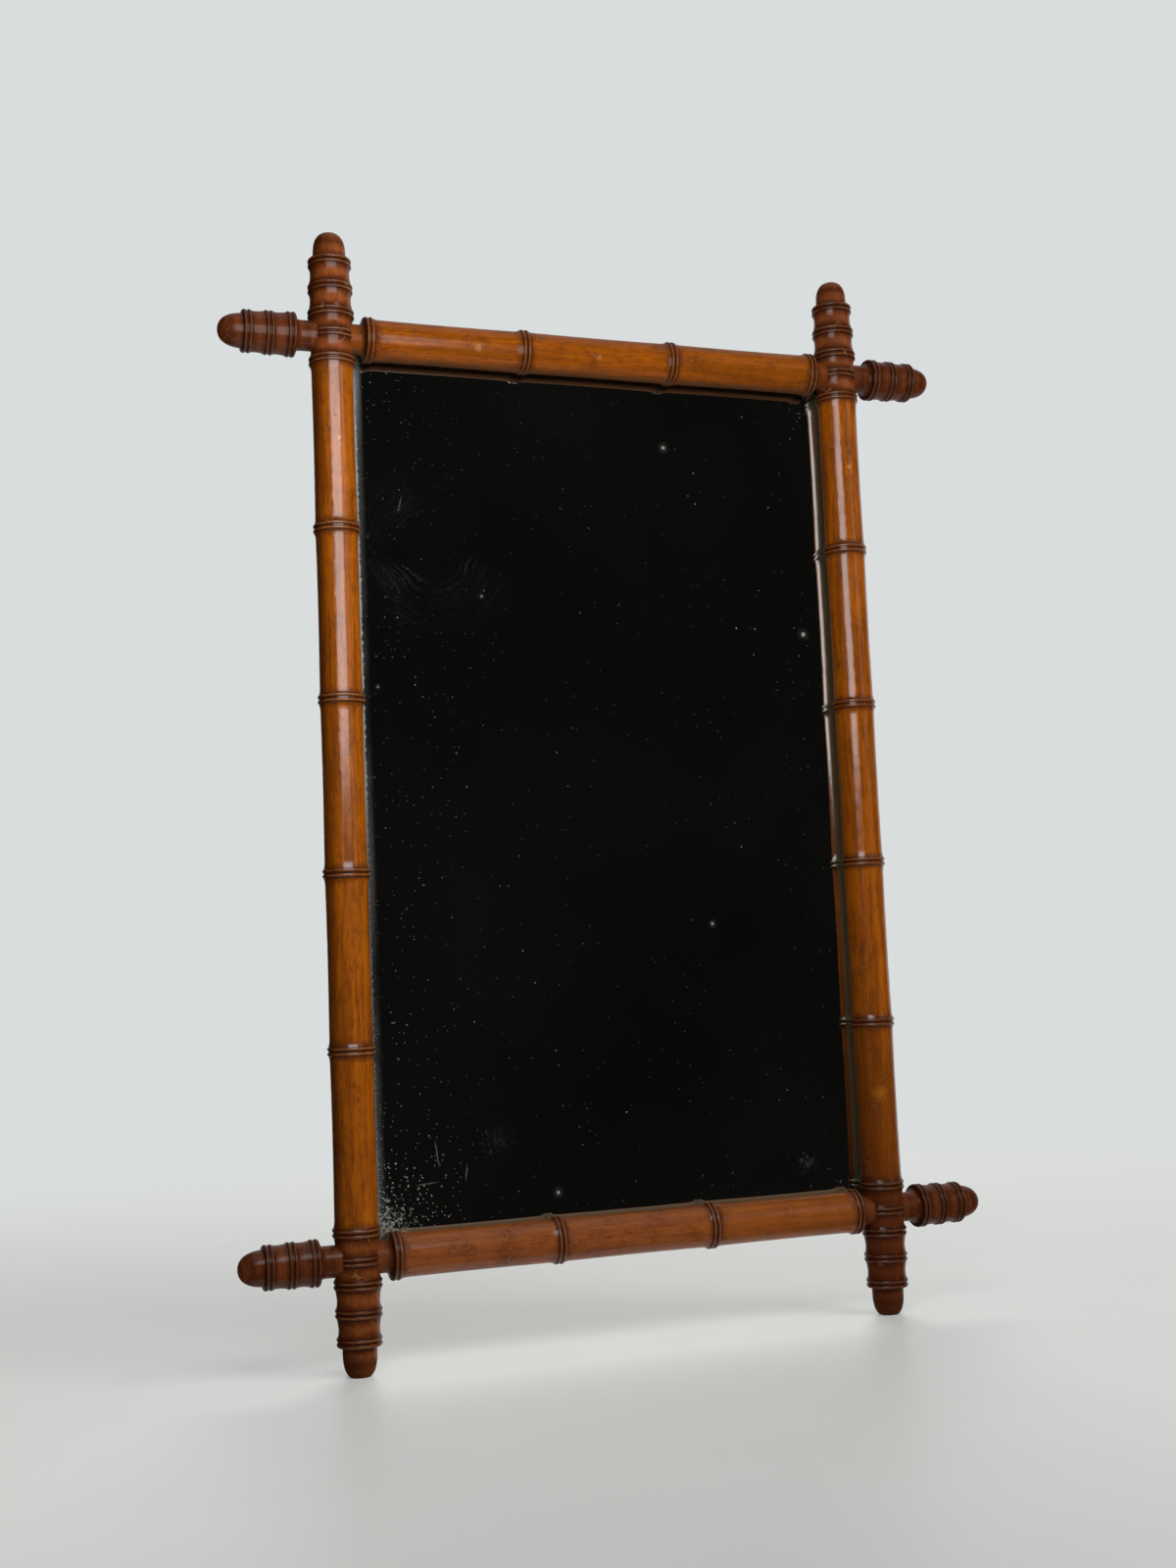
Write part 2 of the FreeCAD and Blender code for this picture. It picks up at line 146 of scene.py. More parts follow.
def bead_wear(tree, nearest, patches, dulled, colour, stain_and_shade, crest):
    """Lays stain with painted shade beside the beads, dirt with painted shade in their grooves and at their
    feet, and a pale rub with a painted highlight on their crests. Places are measured from the middle of a
    ring. Returns the colour."""
    groove_floor = 0.5 * mm
    groove_edge = 1.3 * mm
    crest_place = 2.2 * mm
    foot_place = 3.9 * mm
    stain_and_shade_full = 4 * mm
    stain_and_shade_reach = 22 * mm

    # Stain with painted shade reaches further in some patches, and is deepest on the short joints
    reach = add(tree, "Math", {0: patches, 1: stain_and_shade_reach}, operation="MULTIPLY")[0]
    depth = add(tree, "MapRange", {0: dulled, 1: 0.0, 2: 0.5, 3: 0.6, 4: 0.9})[0]
    shade = add(tree, "MapRange", {0: nearest, 1: reach, 2: stain_and_shade_full, 4: depth},
                interpolation_type="SMOOTHSTEP")[0]
    colour = add(tree, "Mix", {0: shade, 6: colour, 7: linear(stain_and_shade)}, data_type="RGBA")[2]

    # Dirt with painted shade lies in the groove between two beads and at their feet
    groove = add(tree, "MapRange", {0: nearest, 1: groove_edge, 2: groove_floor, 4: 0.8})[0]
    foot_gap = add(tree, "Math", {0: nearest, 1: foot_place}, operation="SUBTRACT")[0]
    foot_gap = add(tree, "Math", {0: foot_gap}, operation="ABSOLUTE")[0]
    foot = add(tree, "MapRange", {0: foot_gap, 1: 1.1 * mm, 2: 0.2 * mm, 4: 0.75})[0]
    dirt_and_shade = add(tree, "Math", {0: groove, 1: foot}, operation="MAXIMUM")[0]
    colour = add(tree, "Mix", {0: dirt_and_shade, 6: colour, 7: linear("#2b130a")}, data_type="RGBA")[2]

    # Crests are rubbed pale by dusting, but not everywhere, and the pale line is partly a painted highlight
    crest_gap = add(tree, "Math", {0: nearest, 1: crest_place}, operation="SUBTRACT")[0]
    crest_gap = add(tree, "Math", {0: crest_gap}, operation="ABSOLUTE")[0]
    crest_rub_and_highlight_mask = add(tree, "MapRange", {0: crest_gap, 1: 1.0 * mm, 2: 0.3 * mm})[0]
    rub_and_highlight = add(tree, "MapRange", {0: patches, 1: 0.36, 2: 0.62, 3: 0.0, 4: 0.3})[0]
    crest_rub_and_highlight_mask = add(tree, "Math", {0: crest_rub_and_highlight_mask, 1: rub_and_highlight}, operation="MULTIPLY")[0]
    return add(tree, "Mix", {0: crest_rub_and_highlight_mask, 6: colour, 7: linear(crest)}, data_type="RGBA")[2]


def knocks(tree, coords, patches, ragged, colour, crest, marks):
    """Bares paler wood in small knocks and short hair scratches, and lays on the dents and spots in marks,
    each with its place, radius and colour. Returns the colour and where the wood is dented."""
    knock_spacing = 34 * mm
    hair_spacing = 14 * mm
    cells = add(tree, "TexVoronoi", {"Vector": coords, "Scale": 1 / knock_spacing, "Randomness": 1.0})
    lot = add(tree, "SeparateColor", {"Color": cells["Color"]})["Red"]
    size = add(tree, "MapRange", {0: lot, 1: 0.78, 2: 1.0, 3: 0.0, 4: 0.09})[0]
    size = add(tree, "Math", {0: size, 1: ragged}, operation="MULTIPLY")[0]
    dented = add(tree, "Math", {0: size, 1: cells["Distance"]}, operation="SUBTRACT")[0]
    dented = add(tree, "MapRange", {0: dented, 1: -0.01, 2: 0.02})[0]
    hairs = add(tree, "TexNoise", {"Vector": coords, "Scale": 1 / hair_spacing, "Detail": 1.0})[0]
    hairs = add(tree, "Math", {0: hairs, 1: 0.5, 2: 0.018}, operation="COMPARE")[0]
    scuffed = add(tree, "MapRange", {0: patches, 1: 0.56, 2: 0.66, 4: 0.3})[0]
    hairs = add(tree, "Math", {0: hairs, 1: scuffed}, operation="MULTIPLY")[0]
    bared = add(tree, "Math", {0: dented, 1: 0.4}, operation="MULTIPLY")[0]
    bared = add(tree, "Math", {0: bared, 1: hairs}, operation="MAXIMUM")[0]
    colour = add(tree, "Mix", {0: bared, 6: colour, 7: linear(crest)}, data_type="RGBA")[2]

    # The ragged pattern is added to the distance, so that a mark has an uneven border
    for mark_place, radius, mark_colour in marks:
        gap = add(tree, "VectorMath", {0: coords, 1: mark_place}, operation="DISTANCE")["Value"]
        gap = add(tree, "Math", {0: ragged, 1: radius * 1.8, 2: gap}, operation="MULTIPLY_ADD")[0]
        mark = add(tree, "MapRange", {0: gap, 1: radius * 1.9, 2: radius * 1.2, 4: 0.65})[0]
        colour = add(tree, "Mix", {0: mark, 6: colour, 7: linear(mark_colour)}, data_type="RGBA")[2]
        dented = add(tree, "Math", {0: mark, 1: dented}, operation="MAXIMUM")[0]
    return colour, dented


def flank_bands(tree, place, axis, along, colour, inner, dusty, outer):
    """Lays bands on the flanks: on the side of the glass dust and grime, with painted shade and a painted
    reflection tint where the bands given hold them, and on the outer side a darker band that is painted
    shade.
    Each has the depth Y where it begins, where it is full, its colour and its strength, and dusty is how
    much gloss the inner ones lose. Returns the colour and the gloss lost."""
    flank_blend = 4 * mm
    end_blend = 6 * mm
    side, middle, opening = {"Z": ("X", post_x, glass_high.z), "X": ("Z", rail_height, glass_high.x)}[axis]
    sideways = add(tree, "Math", {0: place[side]}, operation="ABSOLUTE")[0]
    inwards = add(tree, "MapRange", {0: sideways, 1: middle, 2: middle - flank_blend})[0]
    outwards = add(tree, "MapRange", {0: sideways, 1: middle, 2: middle + flank_blend})[0]
    beside_glass = add(tree, "MapRange", {0: along, 1: opening, 2: opening - end_blend})[0]
    inwards = add(tree, "Math", {0: inwards, 1: beside_glass}, operation="MULTIPLY")[0]
    matt = 0.0
    for flank, bands, gloss_lost in ((inwards, inner, dusty), (outwards, outer, 0.0)):
        for start, finish, band_colour, strength in bands:
            turned = add(tree, "MapRange", {0: place["Y"], 1: start, 2: finish},
                         interpolation_type="SMOOTHSTEP")[0]
            turned = add(tree, "Math", {0: turned, 1: flank}, operation="MULTIPLY")[0]
            mask = add(tree, "Math", {0: turned, 1: strength}, operation="MULTIPLY")[0]
            colour = add(tree, "Mix", {0: mask, 6: colour, 7: linear(band_colour)}, data_type="RGBA")[2]
            mask = add(tree, "Math", {0: turned, 1: gloss_lost}, operation="MULTIPLY")[0]
            matt = add(tree, "Math", {0: mask, 1: matt}, operation="MAXIMUM")[0]
    return colour, matt


def turned_wood(name, axis, combs, drawn, body, streak, stain_and_shade, crest, polish,
                zones=(), inner=(), dusty=0.0, outer=(), marks=()):
    """Turned, stained and French polished fruitwood. The eye sees golden brown wood with soft streaks and
    short fine flecks along the grain, redder stain with painted shade beside the beads, dirt with painted
    shade in their grooves, crests rubbed pale with a painted highlight, painted sheen and shade in some
    zones, and a thin hard gloss over it all. polish is the strength of that gloss. zones, inner, dusty,
    outer and marks are explained in stain_shade_and_sheen_zones, flank_bands and knocks."""
    material, tree = new_tree(name)
    coords = add(tree, "TexCoord")["Object"]
    place = add(tree, "SeparateXYZ", {"Vector": coords})
    along = add(tree, "Math", {0: place[axis]}, operation="ABSOLUTE")[0]
    nearest = ring_distance(tree, along, combs)
    streaks, flecks, patches, ragged = grain_patterns(tree, coords, drawn)

    # Stained wood, then all that age and use have laid on it, and painted shade, highlight and sheen
    streak_mask = add(tree, "MapRange", {0: streaks, 1: 0.32, 2: 0.70}, interpolation_type="SMOOTHSTEP")[0]
    colour = add(tree, "Mix", {0: streak_mask, 6: linear(body), 7: linear(streak)}, data_type="RGBA")[2]
    cloud_mask = add(tree, "MapRange", {0: patches, 1: 0.48, 2: 0.74, 4: 0.55})[0]
    colour = add(tree, "Mix", {0: cloud_mask, 6: colour, 7: linear(stain_and_shade)}, data_type="RGBA")[2]
    fleck_mask = add(tree, "MapRange", {0: flecks, 1: 0.52, 2: 0.72, 4: 0.5})[0]
    colour = add(tree, "Mix", {0: fleck_mask, 6: colour, 7: linear(stain_and_shade)}, data_type="RGBA")[2]
    colour, dulled = stain_shade_and_sheen_zones(tree, place[axis], colour, zones)
    colour = bead_wear(tree, nearest, patches, dulled, colour, stain_and_shade, crest)
    colour, dented = knocks(tree, coords, patches, ragged, colour, crest, marks)
    colour, matt = flank_bands(tree, place, axis, along, colour, inner, dusty, outer)

    # The back was never polished, from just behind the front of the glass
    unpolished = add(tree, "MapRange", {
        0: place["Y"], 1: glass_low.y + 0.1 * mm, 2: glass_low.y + 1.9 * mm,
    })[0]
    bare = add(tree, "MapRange", {0: patches, 1: 0.3, 2: 0.7, 3: 0.95, 4: 0.75})[0]
    bare = add(tree, "Math", {0: unpolished, 1: bare}, operation="MULTIPLY")[0]
    colour = add(tree, "Mix", {0: bare, 6: colour, 7: linear("#7d5a3b")}, data_type="RGBA")[2]
    matt = add(tree, "Math", {0: unpolished, 1: matt}, operation="MAXIMUM")[0]

    # The hard gloss is thinner on the short joints, and a softer shine lies under it
    worn_off = add(tree, "Math", {0: dulled, 1: matt}, operation="MAXIMUM")[0]
    gloss = add(tree, "MapRange", {0: worn_off, 1: 0.0, 2: 1.0, 3: polish, 4: 0.0})[0]
    soft = add(tree, "MapRange", {0: patches, 1: 0.3, 2: 0.7, 3: 0.34, 4: 0.46})[0]
    soft = add(tree, "MapRange", {0: matt, 1: 0.0, 2: 1.0, 3: soft, 4: 0.8})[0]
    height = add(tree, "Math", {0: fleck_mask, 1: -0.5}, operation="MULTIPLY")[0]
    height = add(tree, "Math", {0: streaks, 1: 1.2, 2: height}, operation="MULTIPLY_ADD")[0]
    height = add(tree, "Math", {0: dented, 1: -2.0, 2: height}, operation="MULTIPLY_ADD")[0]
    bump = add(tree, "Bump", {"Height": height, "Distance": 0.2 * mm, "Strength": 0.4})["Normal"]
    shader = add(tree, "BsdfPrincipled", {
        "Base Color": colour,
        "Roughness": soft,
        "Normal": bump,
        "IOR": 1.5,
        "Specular IOR Level": 0.02,
        "Coat Weight": gloss,
        "Coat IOR": 1.7,
        "Coat Roughness": 0.19,
        "Coat Normal": bump,
    })
    add(tree, "OutputMaterial", {"Surface": shader["BSDF"]})
    return material


post_combs = [
    (long_pitch / 2, long_pitch, 0.0, rail_height - inner_ring / 2),
    (rail_height, far_off, 0.0, far_off),
    (
        collar_ring, collar_pitch,
        collar_ring - collar_pitch / 2, collar_ring + (collar_rings - 0.5) * collar_pitch,
    ),
]
post_grain = (1.0, 1.0, 16.0)
# Dust on the flank beside the glass, tinted pale green grey: partly dust, partly a painted reflection of
# the veil and green of the glass where the glass mirrors the flank.
post_dust_and_painted_reflection = [(-0.0215, -0.0150, "#857f66", 0.7)]
post_ends = [(0.478, 0.486, "#67351b", 0.55, 0.8), (-0.478, -0.486, "#4b2a18", 0.70, 1.0)]
left_post_wood = turned_wood(
    "french_polished_fruitwood_left_post", "Z", post_combs, post_grain,
    body="#a95a08", streak="#814007", stain_and_shade="#461d08", crest="#b98150", polish=0.8,
    # The zones at the crossings are a redder stain with a painted soft sheen greyed into their colour.
    zones=[(0.370, 0.392, "#733c26", 0.60, 0.6), (-0.370, -0.392, "#633522", 0.58, 0.6)] + post_ends,
    inner=post_dust_and_painted_reflection, dusty=0.9,
    # The outer band darkens the left flank of the post: painted shade, where less light reaches it.
    outer=[(-0.0400, -0.0290, "#3f1a06", 0.62)],
    marks=[
        ((-0.2541, -0.0415, 0.3273), 0.0016, "#3a1a0c"),
        ((-0.2513, -0.0417, 0.3068), 0.0028, "#b98a58"),
        ((-0.2500, -0.0416, 0.4275), 0.0034, "#80604b"),
    ],
)
dress(left_post_wood, "left_stile")
right_post_wood = turned_wood(
    "french_polished_fruitwood_right_post", "Z", post_combs, post_grain,
    body="#ac5b09", streak="#844108", stain_and_shade="#481f09", crest="#a5744c", polish=0.8,
    zones=[
        # This zone darkens the lower half of the post: painted shade, as the light falls off towards the
        # foot.
        (-0.150, -0.310, "#5f2f09", 0.62, 0.2),
        # The zones at the crossings are a redder stain with a painted soft sheen greyed into their colour.
        (0.370, 0.392, "#6c3a27", 0.65, 0.6), (-0.355, -0.392, "#4f2416", 0.75, 0.5),
    ] + post_ends,
    inner=post_dust_and_painted_reflection, dusty=0.9,
    marks=[
        ((0.2525, -0.0417, 0.3231), 0.0036, "#2b120a"),
        ((0.2516, -0.0417, 0.3083), 0.0028, "#c58a5a"),
        ((0.2458, -0.0408, -0.2950), 0.0090, "#a9650f"),
        ((0.2535, -0.0436, 0.4227), 0.0022, "#9c7350"),
    ],
)
dress(right_post_wood, "right_stile")

# Rails
# Two cross bars of the same fruitwood, turned with a neck at each end that is glued into the posts.
# Their backs are planed flat and their inner edges rebated for the glass.
rail_joints = 3                 # between the rings beside its necks
rail_end_ring = post_x - 32.2 * mm
rail_pitch = 2 * rail_end_ring / rail_joints
rail_combs = [(rail_pitch / 2, rail_pitch, 0.0, rail_end_ring + rail_pitch / 2)]
rail_grain = (16.0, 1.0, 1.0)
top_rail_wood = turned_wood(
    "french_polished_fruitwood_top_rail", "X", rail_combs, rail_grain,
    body="#994e08", streak="#7c3f08", stain_and_shade="#481f08", crest="#a8734a", polish=0.22,
    zones=[(0.215, 0.228, "#623219", 0.7, 0.8), (-0.215, -0.228, "#6d3a1b", 0.6, 0.7)],
    # The second inner band is near black painted shade where the underside of the rail meets the glass; the
    # first is grey brown dust.
    inner=[(-0.033, -0.026, "#6b5440", 0.6), (-0.0205, -0.0150, "#1d110b", 0.9)], dusty=1.0,
    marks=[
        ((-0.1201, -0.0411, 0.3989), 0.0046, "#a87346"),
        ((-0.0028, -0.0412, 0.3991), 0.0030, "#a36c40"),
    ],
)
dress(top_rail_wood, "top_rail")
bottom_rail_wood = turned_wood(
    "french_polished_fruitwood_bottom_rail", "X", rail_combs, rail_grain,
    # Its colours are greyed by a painted soft sheen over the reddish brown.
    body="#945226", streak="#7c4320", stain_and_shade="#4c2513", crest="#a8795a", polish=0.35,
    zones=[
        (0.0, 0.120, "#964e04", 0.35, 0.0),
        (0.215, 0.228, "#54291a", 0.7, 0.8), (-0.215, -0.228, "#5f321b", 0.7, 0.8),
    ],
    inner=[(-0.0250, -0.0200, "#94806a", 0.85)], dusty=1.0,
)
dress(bottom_rail_wood, "bottom_rail")

# Side finials
# Four short ends turned apart from redder wood and glued into the outer sides of the posts, in line with
# the rails, so that the posts and rails seem to cross. The fine lines round them are left by the lathe.
finial_rings = 3
finial_pitch = 19.3 * mm
finial_ring = post_x + 37.4 * mm    # the one beside the neck
finial_combs = [(
    finial_ring, finial_pitch,
    finial_ring - finial_pitch / 2, finial_ring + (finial_rings - 0.5) * finial_pitch,
)]
lathe_lines = (0.4, 4.0, 4.0)
finial_wood = turned_wood(
    "french_polished_fruitwood_finial", "X", finial_combs, lathe_lines,
    body="#70381a", streak="#542811", stain_and_shade="#3d1b0c", crest="#83563c", polish=0.2,
)
dress(finial_wood, "top_left_finial", "top_right_finial", "bottom_left_finial", "bottom_right_finial")

# Mirror glass
# One flat plate in the rebate of the frame, silvered behind and painted over. The silver has gone grey in
# specks and, at the corners, in small patches, and a narrow milky line runs up the left edge, so the eye
# sees a clear reflection with pale flaws in it.
cloud_width = 90 * mm
mottle_width = 4 * mm
material, tree = new_tree("aged_silvered_plate_glass")
coords = add(tree, "TexCoord")["Object"]
place = add(tree, "SeparateXYZ", {"Vector": coords})
face = add(tree, "CombineXYZ", {"X": place["X"], "Y": place["Z"]})[0]
clouds = add(tree, "TexNoise", {
    "Vector": face, "Scale": 1 / cloud_width, "Detail": 4.0,
}, noise_dimensions="2D")[0]
mottle = add(tree, "TexNoise", {
    "Vector": face, "Scale": 1 / mottle_width, "Detail": 5.0, "Roughness": 0.7,
}, noise_dimensions="2D")[0]

# Nearness to a corner, where the silver has suffered most, above all at the lower left. Each corner has its
# side and height as signs, how far the damage spreads and how bad it is
damage_inset = 6.5 * mm
damage_x = glass_high.x - damage_inset
damage_z = glass_high.z - damage_inset
worn = 0.0
for side, end, spread, most in (
    (-1, -1, 0.14, 1.0), (1, -1, 0.06, 0.7), (-1, 1, 0.08, 0.5), (1, 1, 0.06, 0.7),
):
    corner = (side * damage_x, end * damage_z, 0.0)
    gap = add(tree, "VectorMath", {0: face, 1: corner}, operation="DISTANCE")["Value"]
    near = add(tree, "MapRange", {0: gap, 1: spread, 2: 0.0, 4: most})[0]
    near = add(tree, "Math", {0: near, 1: 2.0}, operation="POWER")[0]
    worn = add(tree, "Math", {0: near, 1: worn}, operation="MAXIMUM")[0]

# Specks of three sizes, larger, brighter and closer together near a corner and at the left. Each size has
# the width of its cells, the share of them that hold a speck, its radius as a share of a cell, and its
# strength
left_start = -0.09
left_full = -0.236
at_left = add(tree, "MapRange", {0: place["X"], 1: left_start, 2: left_full},
              interpolation_type="SMOOTHSTEP")[0]
specks = 0.0
for cell, share, radius, strength in (
    (4 * mm, 0.06, 0.10, 0.7), (9 * mm, 0.06, 0.065, 0.8), (30 * mm, 0.2, 0.022, 0.9),
):
    cells = add(tree, "TexVoronoi", {"Vector": face, "Scale": 1 / cell}, voronoi_dimensions="2D")
    lot = add(tree, "SeparateColor", {"Color": cells["Color"]})["Green"]
    crowd = add(tree, "MapRange", {0: clouds, 1: 0.4, 2: 0.62, 3: share * 0.1, 4: share * 0.5})[0]
    crowd = add(tree, "Math", {0: worn, 1: 0.8, 2: crowd}, operation="MULTIPLY_ADD")[0]
    crowd = add(tree, "Math", {0: at_left, 1: 0.07, 2: crowd}, operation="MULTIPLY_ADD")[0]
    held = add(tree, "Math", {0: lot, 1: crowd}, operation="LESS_THAN")[0]
    bright = add(tree, "MapRange", {0: crowd, 1: 0.0, 2: 0.4, 3: strength * 0.2, 4: strength})[0]
    reach = add(tree, "Math", {0: worn, 1: radius * 0.8, 2: radius * 1.5}, operation="MULTIPLY_ADD")[0]
    speck = add(tree, "MapRange", {0: cells["Distance"], 1: reach, 2: radius * 0.4, 4: bright})[0]
    speck = add(tree, "Math", {0: speck, 1: held}, operation="MULTIPLY")[0]
    specks = add(tree, "Math", {0: speck, 1: specks}, operation="MAXIMUM")[0]

# Larger spots with a soft halo, each with its place across and up the glass and its radius
for spot_x, spot_z, radius in (
    (0.069, 0.325, 0.0024), (0.207, 0.147, 0.0026), (-0.117, 0.175, 0.0014),
    (-0.216, 0.090, 0.0013), (-0.066, -0.364, 0.0022), (0.096, -0.130, 0.0018),
):
    gap = add(tree, "VectorMath", {0: face, 1: (spot_x, spot_z, 0.0)}, operation="DISTANCE")["Value"]
    spot = add(tree, "MapRange", {0: gap, 1: radius, 2: radius * 0.5, 4: 0.45})[0]
    halo = add(tree, "MapRange", {0: gap, 1: radius * 3, 2: radius, 4: 0.03},
               interpolation_type="SMOOTHSTEP")[0]
    specks = add(tree, "Math", {0: spot, 1: specks}, operation="MAXIMUM")[0]
    specks = add(tree, "Math", {0: halo, 1: specks}, operation="MAXIMUM")[0]

# Patches of lost silver close to the corners
lost = add(tree, "Math", {0: worn, 1: 0.62, 2: mottle}, operation="MULTIPLY_ADD")[0]
lost = add(tree, "MapRange", {0: lost, 1: 0.90, 2: 1.08, 4: 0.7})[0]
specks = add(tree, "Math", {0: lost, 1: specks}, operation="MAXIMUM")[0]

# Milky line up the left edge with a ragged border, fainter below, and a blue bloom beside it that is
# strongest at the top. Widths are measured from the edge of the glass, which lies behind the wood
line_widest = glass_low.x + 15.8 * mm
line_narrowest = glass_low.x + 13.2 * mm
bloom_end = glass_low.x + 21.5 * mm
bloom_full = glass_low.x + 12.5 * mm
blue_end = glass_low.x + 28 * mm
line = add(tree, "MapRange", {0: mottle, 1: 0.3, 2: 0.7, 3: line_widest, 4: line_narrowest})[0]
line = add(tree, "Math", {0: line, 1: place["X"]}, operation="SUBTRACT")[0]
line = add(tree, "MapRange", {0: line, 1: -0.3 * mm, 2: 0.6 * mm})[0]
milky = add(tree, "MapRange", {0: place["Z"], 1: -0.10, 2: 0.08, 3: 0.3, 4: 1.0},
            interpolation_type="SMOOTHSTEP")[0]
line = add(tree, "Math", {0: line, 1: milky}, operation="MULTIPLY")[0]
bloom = add(tree, "MapRange", {0: place["X"], 1: bloom_end, 2: bloom_full},
            interpolation_type="SMOOTHSTEP")[0]
haze = add(tree, "MapRange", {0: clouds, 1: 0.35, 2: 0.65, 3: 0.04, 4: 0.2})[0]
upper = add(tree, "MapRange", {0: place["Z"], 1: 0.28, 2: 0.39, 4: 0.55},
            interpolation_type="SMOOTHSTEP")[0]
haze = add(tree, "Math", {0: haze, 1: upper}, operation="ADD")[0]
haze = add(tree, "Math", {0: haze, 1: bloom}, operation="MULTIPLY")[0]
edge = add(tree, "Math", {0: line, 1: haze}, operation="MAXIMUM")[0]
flaws = add(tree, "Math", {0: edge, 1: specks}, operation="MAXIMUM")[0]
blue = add(tree, "MapRange", {0: place["X"], 1: blue_end, 2: bloom_end})[0]
white = add(tree, "Math", {0: worn, 1: 1.5, 2: line}, operation="MULTIPLY_ADD")[0]
blue = add(tree, "Math", {0: blue, 1: white}, operation="SUBTRACT", use_clamp=True)[0]

# Faint marks of wiping in the upper left part, in arcs round where the hand stood
hand = (-0.163, 0.215, 0.0)
arc_width = 4 * mm
gap = add(tree, "VectorMath", {0: face, 1: hand}, operation="DISTANCE")["Value"]
swung = add(tree, "Math", {0: clouds, 1: 0.05, 2: gap}, operation="MULTIPLY_ADD")[0]
arcs = add(tree, "TexNoise", {"W": swung, "Scale": 1 / arc_width, "Detail": 3.0}, noise_dimensions="1D")[0]
arcs = add(tree, "MapRange", {0: arcs, 1: 0.45, 2: 0.75, 4: 0.07})[0]
wiped = add(tree, "MapRange", {0: gap, 1: 0.09, 2: 0.02}, interpolation_type="SMOOTHSTEP")[0]
patchy = add(tree, "MapRange", {0: clouds, 1: 0.45, 2: 0.65})[0]
wiped = add(tree, "Math", {0: wiped, 1: patchy}, operation="MULTIPLY")[0]
arcs = add(tree, "Math", {0: arcs, 1: wiped}, operation="MULTIPLY")[0]
flaws = add(tree, "Math", {0: flaws, 1: arcs}, operation="MAXIMUM")[0]

# Soft smears, each with its place across and up the glass, its radius and its strength
for smear_x, smear_z, radius, strength in (
    (0.180, -0.356, 0.010, 0.05), (-0.121, -0.314, 0.018, 0.015),
):
    gap = add(tree, "VectorMath", {0: face, 1: (smear_x, smear_z, 0.0)}, operation="DISTANCE")["Value"]
    gap = add(tree, "Math", {0: mottle, 1: radius * 5, 2: gap}, operation="MULTIPLY_ADD")[0]
    smear = add(tree, "MapRange", {0: gap, 1: radius * 3.2, 2: radius * 2.4, 4: strength},
                interpolation_type="SMOOTHSTEP")[0]
    flaws = add(tree, "Math", {0: flaws, 1: smear}, operation="MAXIMUM")[0]

# Short scratches, each with its middle, half its length and how far it is turned from level
for scratch_x, scratch_z, half_length, turned in (
    (-0.191, 0.257, 0.009, 75), (-0.186, -0.347, 0.011, 4),
    (-0.176, -0.322, 0.013, 98), (-0.150, -0.340, 0.008, 84),
):
    own = add(tree, "Mapping", {
        "Vector": face,
        "Location": (scratch_x, scratch_z, 0.0),
        "Rotation": (0.0, 0.0, math.radians(turned)),
    }, vector_type="TEXTURE")["Vector"]
    sides = add(tree, "SeparateXYZ", {"Vector": own})
    across = add(tree, "Math", {0: sides["Y"]}, operation="ABSOLUTE")[0]
    across = add(tree, "MapRange", {0: across, 1: 0.6 * mm, 2: 0.2 * mm, 4: 0.22})[0]
    length = add(tree, "Math", {0: sides["X"]}, operation="ABSOLUTE")[0]
    length = add(tree, "MapRange", {0: length, 1: half_length, 2: half_length * 0.4})[0]
    scratch = add(tree, "Math", {0: across, 1: length}, operation="MULTIPLY")[0]
    flaws = add(tree, "Math", {0: flaws, 1: scratch}, operation="MAXIMUM")[0]

# Silver from the front, and dull red lead paint on the back and the edges
behind = add(tree, "MapRange", {
    0: place["Y"], 1: glass_low.y + 0.2 * mm, 2: glass_low.y + 0.4 * mm,
})[0]
backing = add(tree, "Mix", {0: blue, 6: linear("#dddfd4"), 7: linear("#6f93cf")}, data_type="RGBA")[2]
colour = add(tree, "Mix", {0: flaws, 6: linear("#e8ebe6"), 7: backing}, data_type="RGBA")[2]
paint = add(tree, "Mix", {0: mottle, 6: linear("#5f2f22"), 7: linear("#4a2a22")}, data_type="RGBA")[2]
colour = add(tree, "Mix", {0: behind, 6: colour, 7: paint}, data_type="RGBA")[2]
flaws = add(tree, "Math", {0: flaws, 1: behind}, operation="MAXIMUM")[0]
silver = add(tree, "Math", {0: 1.0, 1: flaws}, operation="SUBTRACT")[0]
rough = add(tree, "MapRange", {0: flaws, 1: 0.0, 2: 0.6, 3: 0.02, 4: 0.5})[0]
shader = add(tree, "BsdfPrincipled", {"Base Color": colour, "Metallic": silver, "Roughness": rough})
add(tree, "OutputMaterial", {"Surface": shader["BSDF"]})
dress(material, "mirror_glass")

# Plank back and slips
# Three sawn softwood planks nailed upright to the rails, and small slips that centre the glass.
# Never finished: grey brown, with growth lines that part round a few knots, saw marks and dust.
left_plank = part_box("left_backboard")
middle_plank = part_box("middle_backboard")
plank_pitch = middle_plank[0].x - left_plank[0].x
plank_gap = middle_plank[0].x - left_plank[1].x
planks_left = left_plank[0].x - plank_gap / 2
knot_spacing = 130 * mm
growth_width = 11 * mm
fibre_width = 1.6 * mm          # 0.05 mm in the wood, drawn coarser to show
dust_width = 50 * mm
saw_pitch = 20 * mm
material, tree = new_tree("sawn_pine")
coords = add(tree, "TexCoord")["Object"]
place = add(tree, "SeparateXYZ", {"Vector": coords})

# Each plank has its own stretch of the patterns, because each was cut from another place
plank = add(tree, "Math", {0: place["X"], 1: planks_left}, operation="SUBTRACT")[0]
plank = add(tree, "Math", {0: plank, 1: plank_pitch}, operation="DIVIDE")[0]
plank = add(tree, "Math", {0: plank}, operation="FLOOR")[0]
shift = add(tree, "VectorMath", {0: (0.0, 0.37, 0.61), "Scale": plank}, operation="SCALE")[0]
own = add(tree, "VectorMath", {0: coords, 1: shift}, operation="ADD")[0]

